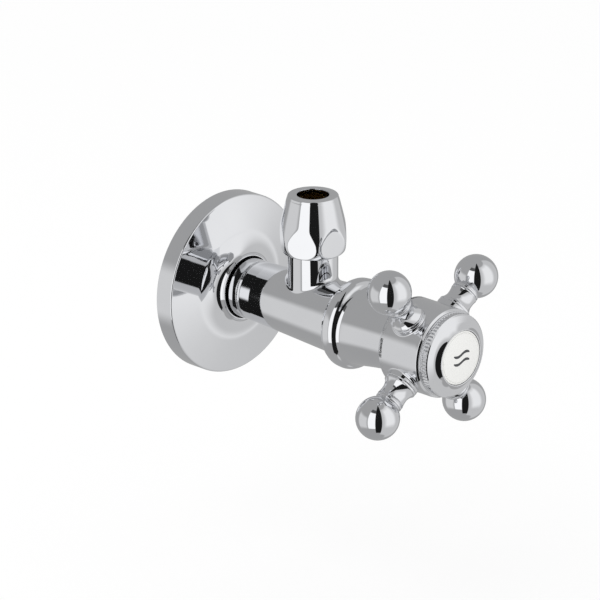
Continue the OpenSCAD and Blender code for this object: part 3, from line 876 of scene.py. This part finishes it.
@dataclass
class CrossHandle:
    """Hub with four turned arms that end in balls."""

    arm_from_back: float = 9.5
    clock_deg: float = -7.1
    pad_r: float = 5.7
    pad_rise: float = 0.9
    pad_fillet: float = 0.5
    stud_r: float = 2.5
    stud_depth: float = 5.4
    back_round: float = 3.3
    ball_r: float = 7.15
    ball_reach: float = 29.3
    neck_r: float = 4.36
    screw_seat: float = 7.1
    socket_r: float = 4.1
    well_r: float = 8.2
    cap_r: float = 10.54
    columns: int = 256
    hole_columns: int = 46
    hole_rows: int = 40
    hole_reach: float = 7.4

    def build(self) -> list[bpy.types.Object]:
        """Builds the hub and its arms.

        Returns:
            The pieces.
        """
        return [self._hub()] + [self._arm(k) for k in range(4)]

    def _arm_angle(self, k: int) -> float:
        """Returns an arm's angle round the valve axis, in radians."""
        return math.radians(45 + self.clock_deg + 90 * k)

    def _hub(self) -> bpy.types.Object:
        """Builds the hub with its four pads and its bores."""
        back, front = reach_of("handle_hub")
        hub_r = 14.8
        arm_t = back + self.arm_from_back
        seat = front - self.screw_seat
        web = seat - 2.2
        outline = rounded([
            (self.socket_r, back, 0), (hub_r, back, self.back_round),
            (hub_r, back + self.back_round + 0.05, 0)])[:-1]
        ways = [arm_t + self.hole_reach * (2 * k / self.hole_rows - 1) for k in range(self.hole_rows + 1)]
        first = len(outline)
        outline += [(hub_r, w) for w in ways]
        outline += rounded([
            (hub_r, front - 1.5, 0), (hub_r - 0.1, front - 0.6, 0.4), (hub_r - 0.8, front, 0.35),
            (self.cap_r, front, 0.1), (self.cap_r, front - 4.25, 0.1), (self.well_r, front - 4.25, 0.1),
            (self.well_r, seat, 0.2), (2.2, seat, 0.1), (2.2, web, 0.1), (self.socket_r, web, 0.1),
            (self.socket_r, back, 0)])[:-1]
        columns = set()
        starts = []
        for k in range(4):
            begin = self.columns * k // 4 - self.hole_columns // 2
            starts.append(begin)
            columns |= {(begin + c) % self.columns for c in range(self.hole_columns)}
        skin = Skin()
        rings = skin.revolve(VALVE_AXIS, outline, self.columns, start=self._arm_angle(0), closed=True,
                             holes=[(first, first + self.hole_rows, columns)])
        for k in range(4):
            pad = Branch(VALVE_AXIS, self._arm_angle(k), arm_t, self.pad_r, self.pad_fillet, hub_r)
            ring, turns = pad.grow(skin, rings[first : first + self.hole_rows + 1], ways, starts[k],
                                   self.hole_columns)
            top = hub_r + self.pad_rise
            pad.tube(skin, ring, turns, rounded([
                (self.pad_r, hub_r + 0.62, 0), (self.pad_r, top, 0.22), (self.stud_r, top, 0.05),
                (self.stud_r, top - self.stud_depth, 0.05), (0, top - self.stud_depth, 0)]))
        return skin.finish("handle_boss", "handle", CHROME, ["handle_hub"])

    def _arm(self, k: int) -> bpy.types.Object:
        """Builds one arm with its stud, foot, neck, collar, bead ring and ball."""
        back, _ = reach_of("handle_hub")
        arm_t = back + self.arm_from_back
        a = self._arm_angle(k)
        axis = Axis(Vector((0, -arm_t, 0)), Vector((math.cos(a), 0, math.sin(a))),
                    Vector((-math.sin(a), 0, math.cos(a))), Vector((0, -1, 0)))
        foot = 14.8 + self.pad_rise
        entry = self.ball_reach - math.sqrt(self.ball_r ** 2 - (self.neck_r - 0.2) ** 2)
        collar = entry - 1.5
        waist = (foot + 0.9 + collar) / 2 + 0.2
        tip_r = self.neck_r + 0.3
        edge = self.pad_r - 0.1
        outline = rounded([
            (0, foot - self.stud_depth + 0.2, 0), (self.stud_r - 0.05, foot - self.stud_depth + 0.2, 0.4),
            (self.stud_r - 0.05, foot, 0.05), (edge, foot, 0.22), (edge, foot + 0.85, 0.2),
            (edge - 0.3, foot + 0.95, 0)])[:-1]
        outline += [(self.neck_r + (edge - 0.25 - self.neck_r) * (1 - u) ** 2, foot + 0.95 + (waist - foot - 0.95) * u)
                    for u in (i / 14 for i in range(15))]
        outline += [(self.neck_r + (tip_r - self.neck_r) * u * u, waist + (collar - waist) * u)
                    for u in (i / 10 for i in range(1, 10))]
        outline += rounded([
            (tip_r - 0.03, collar - 0.2, 0), (tip_r, collar, 0.12), (self.neck_r - 0.12, collar + 0.06, 0.06),
            (self.neck_r - 0.12, collar + 0.36, 0.06), (self.neck_r + 0.25, collar + 0.42, 0.22),
            (self.neck_r + 0.25, collar + 1.1, 0.22), (self.neck_r - 0.2, collar + 1.22, 0.1),
            (self.neck_r - 0.2, entry, 0)])[:-1]
        first = math.degrees(math.acos(-(self.ball_reach - entry) / self.ball_r))
        ball = [(self.ball_r * math.sin(t), self.ball_reach + self.ball_r * math.cos(t))
                for t in (math.radians(first * (1 - i / 60)) for i in range(61))]
        outline += ball[:-1] + [(0, ball[-1][1])]
        skin = Skin()
        skin.revolve(axis, outline, 144)
        return skin.finish(f"ball_arm_{k + 1}", "handle", CHROME, [f"handle_arm_{k + 1}"], sharp_deg=40)


@dataclass
class IndexCap:
    """Knurled cap ring with a white domed index disc and a generic inlaid mark."""

    cap_r: float = 14.0
    knurl_r: float = 13.85
    ribs: int = 72
    rib_columns: int = 8
    rib_cut: float = 0.4
    bead: float = 0.7
    knurl: float = 2.1
    screw_r: float = 10.5
    screw_len: float = 4.0
    cove_r: float = 11.3
    rim_r: float = 9.35
    seat_r: float = 9.05
    well_r: float = 8.6
    disc_r: float = 8.95
    dome: float = 0.45
    ring_r: float = 8.25
    mark_half: float = 3.76
    mark_wave: float = 0.55
    mark_gap: float = 1.3
    mark_stroke: float = 0.48
    mark_proud: float = 0.008
    mark_deep: float = 0.25

    def build(self) -> list[bpy.types.Object]:
        """Builds the cap ring, the disc and the mark.

        Returns:
            The pieces.
        """
        return [self._ring(), self._disc(), self._mark()]

    def _ring(self) -> bpy.types.Object:
        """Builds the cap ring with its bead, knurl and coved crown."""
        front = reach_of("cap_ring")[1]
        back = reach_of("cap_ring")[0] + self.screw_len
        seat = reach_of("index_disc")[0]
        knurl_back = back + self.bead
        knurl_front = knurl_back + self.knurl
        cove_back = knurl_front + 0.95
        length = self.cove_r - self.rim_r
        slope = 0.5
        bend = (front - cove_back - slope * length) / length ** 2
        outline = rounded([
            (self.screw_r - 1.9, back - self.screw_len, 0), (self.screw_r, back - self.screw_len, 0.4),
            (self.screw_r, back, 0.05), (self.cap_r, back, 0.25), (self.cap_r, knurl_back - 0.2, 0.25),
            (self.cap_r - 0.38, knurl_back - 0.14, 0.05), (self.cap_r - 0.38, knurl_back + 0.04, 0.05),
            (self.knurl_r - 0.12, knurl_back + 0.08, 0)])
        outline += [(self.knurl_r, knurl_back + 0.2 + (self.knurl - 0.4) * k / 10) for k in range(11)]
        outline += rounded([
            (self.knurl_r - 0.12, knurl_front - 0.08, 0), (self.cap_r - 0.4, knurl_front, 0.1),
            (self.cap_r - 0.7, knurl_front + 0.25, 0.3), (self.cove_r, cove_back, 0)])[:-1]
        outline += [(self.cove_r - x, cove_back + slope * x + bend * x * x)
                    for x in (length * k / 16 for k in range(16))]
        outline += rounded([
            (self.rim_r + 0.02, front - 0.05, 0), (self.rim_r, front, 0.04), (self.seat_r, front, 0.1),
            (self.seat_r, seat, 0.05), (self.well_r, seat, 0.05), (self.well_r, back - self.screw_len, 0)])
        skin = Skin()
        skin.revolve(VALVE_AXIS, outline, self.ribs * self.rib_columns, shape=self._ribbed, closed=True)
        return skin.finish("knurled_cap", "handle", CHROME, ["cap_ring"], sharp_deg=50)

    def _ribbed(self, radius: float, angle: float, way: float) -> float:
        """Returns the knurl's radius with its ribs cut in."""
        if radius != self.knurl_r:
            return radius
        return radius - self.rib_cut * (0.5 - 0.5 * math.cos(self.ribs * angle))

    def _dome_reach(self, radius: float) -> float:
        """Returns the reach of the disc's domed face at a radius."""
        front = reach_of("index_disc")[1]
        return front - self.dome * (radius / self.disc_r) ** 2

    def _disc(self) -> bpy.types.Object:
        """Builds the disc with its domed face and fine ring groove."""
        back = reach_of("index_disc")[0]
        edge = self._dome_reach(self.disc_r)
        outline = rounded([
            (0, back, 0), (self.disc_r, back, 0.1), (self.disc_r, edge - 0.02, 0.3),
            (self.ring_r + 0.09, self._dome_reach(self.ring_r + 0.09), 0)])
        groove = 0.16
        outline += [(self.ring_r + 0.05, self._dome_reach(self.ring_r) - groove),
                    (self.ring_r - 0.05, self._dome_reach(self.ring_r) - groove)]
        outline += [(r, self._dome_reach(r)) for r in (
            (self.ring_r - 0.09) * (1 - k / 24) for k in range(25))]
        skin = Skin()
        skin.revolve(VALVE_AXIS, outline, 192)
        return skin.finish("index_face", "handle", ENAMEL, ["index_disc"])

    def _mark(self) -> bpy.types.Object:
        """Builds two small waves, inlaid flush in the domed face."""
        skin = Skin()
        steps = 48
        for row in (-1, 1):
            rings = []
            for k in range(steps + 1):
                x = self.mark_half * (2 * k / steps - 1)
                taper = math.sqrt(max(0.0, 1 - (2 * k / steps - 1) ** 6))
                middle = row * self.mark_gap + self.mark_wave * math.sin(math.pi * x / self.mark_half)
                low, high = middle - self.mark_stroke * taper, middle + self.mark_stroke * taper
                face = [Vector((x, -self._dome_reach(math.hypot(x, z)) - self.mark_proud, z))
                        for z in (low, middle, high)]
                deep = [Vector((x, p.y + self.mark_deep, p.z)) for p in reversed(face)]
                rings.append(skin.ring(face + deep))
            for a, b in zip(rings, rings[1:]):
                skin.bridge(a, b)
            skin.faces.append(tuple(rings[0]))
            skin.faces.append(tuple(rings[-1]))
        return skin.finish("index_waves", "handle", INK, ["index_mark"])


# ---------------------------------------------------------------------------------------------------------
# Inner parts that keep their CAD shape
# ---------------------------------------------------------------------------------------------------------


@dataclass
class InnerParts:
    """Dresses the CAD nodes that stay as they are."""

    finishes: dict = field(default_factory=lambda: {
        "headpart_housing": BRASS, "compression_olive": BRASS, "spindle": BRASS, "valve_plug": BRASS,
        "headpart_gasket": RUBBER, "rosette_oring": RUBBER, "spindle_orings": RUBBER, "plug_oring": RUBBER,
        "seat_washer": RUBBER, "inlet_seal": PTFE, "slip_washer": PTFE, "circlip": STEEL,
        "washer_screw": STEEL, "handle_screw": STEEL, "lock_washer": STEEL})

    def dress(self) -> None:
        """Gives each node its finish."""
        for name, finish in self.finishes.items():
            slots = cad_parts[name].material_slots
            for slot in slots:
                slot.material = finish.material()
            LOG.info("%s: %s", name, finish.name)


# ---------------------------------------------------------------------------------------------------------
# Studio
# ---------------------------------------------------------------------------------------------------------


@dataclass(frozen=True)
class Panel:
    """One soft-edged stretch of the studio's walls, seen from the valve.

    Attributes:
        left: left edge, in degrees to the right of the viewer.
        right: right edge.
        low: lower edge, in degrees above level.
        high: upper edge.
        level: how bright it is; 1 is white.
        soft: width of its soft edge, in degrees.
    """

    left: float
    right: float
    low: float
    high: float
    level: float
    soft: float


@dataclass
class Studio:
    """White room with soft boxes and black flags, a pale floor and the camera."""

    azimuth: float = -46.17
    elevation: float = 20.30
    distance_mm: float = 1528.6
    lens_mm: float = 280.0
    look_at: tuple = (0.0, -40.67, 0.0)
    aim_right_mm: float = -3.29
    aim_up_mm: float = 2.51
    walls: float = 0.40
    matt_level: float = 0.92
    floor_drop_mm: float = 70.0
    panels: tuple = (
        Panel(-112, -58, -34, 14, 0.72, 14),
        Panel(-52, -13, -36, 44, 1.15, 2.5),
        Panel(22, 140, -70, 62, 0.62, 6),
        Panel(40, 98, -26, 55, 0.96, 24),
        Panel(-13, 22, -60, 100, 0.012, 2.0),
        Panel(-52, -13, 44, 60, 0.10, 4.0),
    )

    def build(self) -> None:
        """Sets up the camera, the world, the floor and the lamp."""
        self._camera()
        self._world()
        self._floor()
        self._lamp()
        bpy.context.scene.view_settings.view_transform = "Standard"

    def _sides(self) -> tuple[Vector, Vector, Vector]:
        """Returns the directions to the viewer's right, up and back."""
        a, e = math.radians(self.azimuth), math.radians(self.elevation)
        back = Vector((math.sin(a) * math.cos(e), -math.cos(a) * math.cos(e), math.sin(e)))
        right = Vector((math.cos(a), math.sin(a), 0))
        return right, back.cross(right), back

    def _camera(self) -> None:
        """Places the camera, aimed a little beside the valve's middle."""
        right, up, back = self._sides()
        target = Vector(self.look_at)
        aim = target + right * self.aim_right_mm + up * self.aim_up_mm
        place = target + back * self.distance_mm
        behind = (place - aim).normalized()
        side = up.cross(behind).normalized()
        turn = Matrix((side, behind.cross(side), behind)).transposed().to_4x4()
        turn.translation = place * MM
        lens = bpy.data.cameras.new("camera")
        lens.lens = self.lens_mm
        lens.sensor_width = 36.0
        lens.clip_end = 20.0
        camera = bpy.data.objects.new("camera", lens)
        bpy.context.scene.collection.objects.link(camera)
        camera.matrix_world = turn
        bpy.context.scene.camera = camera

    def _world(self) -> None:
        """Builds the room.

        It is white to the camera, even to matt surfaces, and shows its panels in polished ones.
        """
        world = bpy.data.worlds.new("studio")
        bpy.context.scene.world = world
        world.use_nodes = True
        tree = world.node_tree
        tree.nodes.clear()
        ray = add_node(tree, "ShaderNodeLightPath").outputs
        way = add_node(tree, "ShaderNodeTexCoord").outputs["Generated"]
        right, _, back = self._sides()
        ahead = Vector((back.x, back.y, 0)).normalized()
        across = self._dot(tree, way, right)
        along = self._dot(tree, way, ahead)
        height = self._dot(tree, way, Vector((0, 0, 1)))
        turn = self._math(tree, "DEGREES", self._math(tree, "ARCTAN2", across, along))
        rise = self._math(tree, "DEGREES", self._math(tree, "ARCSINE", height))
        level: bpy.types.NodeSocket | float = self.walls
        for panel in self.panels:
            cover = self._cover(tree, panel, turn, rise)
            level = self._mix(tree, cover, level, panel.level)
        seen = self._math(tree, "MAXIMUM", ray["Is Camera Ray"], ray["Is Transmission Ray"])
        unseen = self._mix(tree, ray["Is Glossy Ray"], self.matt_level, level)
        strength = self._mix(tree, seen, unseen, 1.0)
        light = add_node(tree, "ShaderNodeBackground", {}, {
            "Color": (1.0, 1.0, 1.0, 1.0), "Strength": strength})
        add_node(tree, "ShaderNodeOutputWorld", {}, {"Surface": light.outputs[0]})

    @staticmethod
    def _math(tree: bpy.types.NodeTree, operation: str, *values) -> bpy.types.NodeSocket:
        """Returns the result of one sum of sockets or numbers."""
        node = add_node(tree, "ShaderNodeMath", {"operation": operation}, dict(enumerate(values)))
        return node.outputs[0]

    @staticmethod
    def _mix(tree: bpy.types.NodeTree, share, low, high) -> bpy.types.NodeSocket:
        """Returns a blend of two sockets or numbers."""
        node = add_node(tree, "ShaderNodeMix", {"data_type": "FLOAT"}, {0: share, 2: low, 3: high})
        return node.outputs[0]

    @staticmethod
    def _dot(tree: bpy.types.NodeTree, way: bpy.types.NodeSocket, direction: Vector) -> bpy.types.NodeSocket:
        """Returns how far a direction of view runs along another direction."""
        node = add_node(tree, "ShaderNodeVectorMath", {"operation": "DOT_PRODUCT"}, {
            0: way, 1: tuple(direction)})
        return node.outputs["Value"]

    def _cover(self, tree: bpy.types.NodeTree, panel: Panel, turn: bpy.types.NodeSocket,
               rise: bpy.types.NodeSocket) -> bpy.types.NodeSocket:
        """Returns how much a panel covers of a direction, from 0 to 1."""
        cover: bpy.types.NodeSocket | float = 1.0
        for value, edge, sign in ((turn, panel.left, 1), (turn, panel.right, -1),
                                  (rise, panel.low, 1), (rise, panel.high, -1)):
            half = panel.soft / 2
            step = add_node(tree, "ShaderNodeMapRange", {"interpolation_type": "SMOOTHSTEP"}, {
                "Value": value, "From Min": edge - sign * half, "From Max": edge + sign * half,
                "To Min": 0.0, "To Max": 1.0})
            cover = self._math(tree, "MULTIPLY", cover, step.outputs["Result"])
        return cover

    def _floor(self) -> None:
        """Lays a plain pale floor well under the valve."""
        half = 6.0
        drop = CAD_BOX[0].z - self.floor_drop_mm * MM
        mesh = bpy.data.meshes.new("floor")
        corners = [(-half, -half, drop), (half, -half, drop), (half, half, drop), (-half, half, drop)]
        mesh.from_pydata(corners, [], [(0, 1, 2, 3)])
        floor = bpy.data.objects.new("floor", mesh)
        bpy.context.scene.collection.objects.link(floor)
        paper = bpy.data.materials.new("pale_floor")
        paper.use_nodes = True
        tree = paper.node_tree
        tree.nodes.clear()
        ray = add_node(tree, "ShaderNodeLightPath").outputs
        matt = add_node(tree, "ShaderNodeBsdfDiffuse", {}, {"Color": srgb("#FFFFFF")})
        white = add_node(tree, "ShaderNodeEmission", {}, {"Color": (1.0, 1.0, 1.0, 1.0), "Strength": 1.0})
        share = self._math(tree, "MULTIPLY", ray["Is Camera Ray"], 0.6)
        mixed = add_node(tree, "ShaderNodeMixShader", {}, {0: share, 1: matt.outputs[0], 2: white.outputs[0]})
        add_node(tree, "ShaderNodeOutputMaterial", {}, {"Surface": mixed.outputs[0]})
        mesh.materials.append(paper)
        floor.visible_glossy = False

    def _lamp(self) -> None:
        """Hangs one large soft lamp up to the viewer's left; polished surfaces show the panels instead."""
        right, up, back = self._sides()
        data = bpy.data.lights.new("soft_key", "AREA")
        data.energy = 3.0
        data.size = 0.9
        lamp = bpy.data.objects.new("soft_key", data)
        bpy.context.scene.collection.objects.link(lamp)
        place = (back * 0.7 - right * 0.5 + Vector((0, 0, 0.9)))
        lamp.location = place
        lamp.rotation_euler = place.to_track_quat("Z", "Y").to_euler()
        lamp.visible_glossy = False


# ---------------------------------------------------------------------------------------------------------
# Everything together
# ---------------------------------------------------------------------------------------------------------


def main() -> None:
    """Builds the valve's pieces, the studio and the camera, in order."""
    logging.basicConfig(level=logging.INFO, format="%(message)s")
    Studio().build()
    ValveBody().build()
    Rosette().build()
    OutletNut().build()
    CoverSleeve().build()
    CrossHandle().build()
    IndexCap().build()
    InnerParts().dress()


if __name__ == "__main__":
    main()
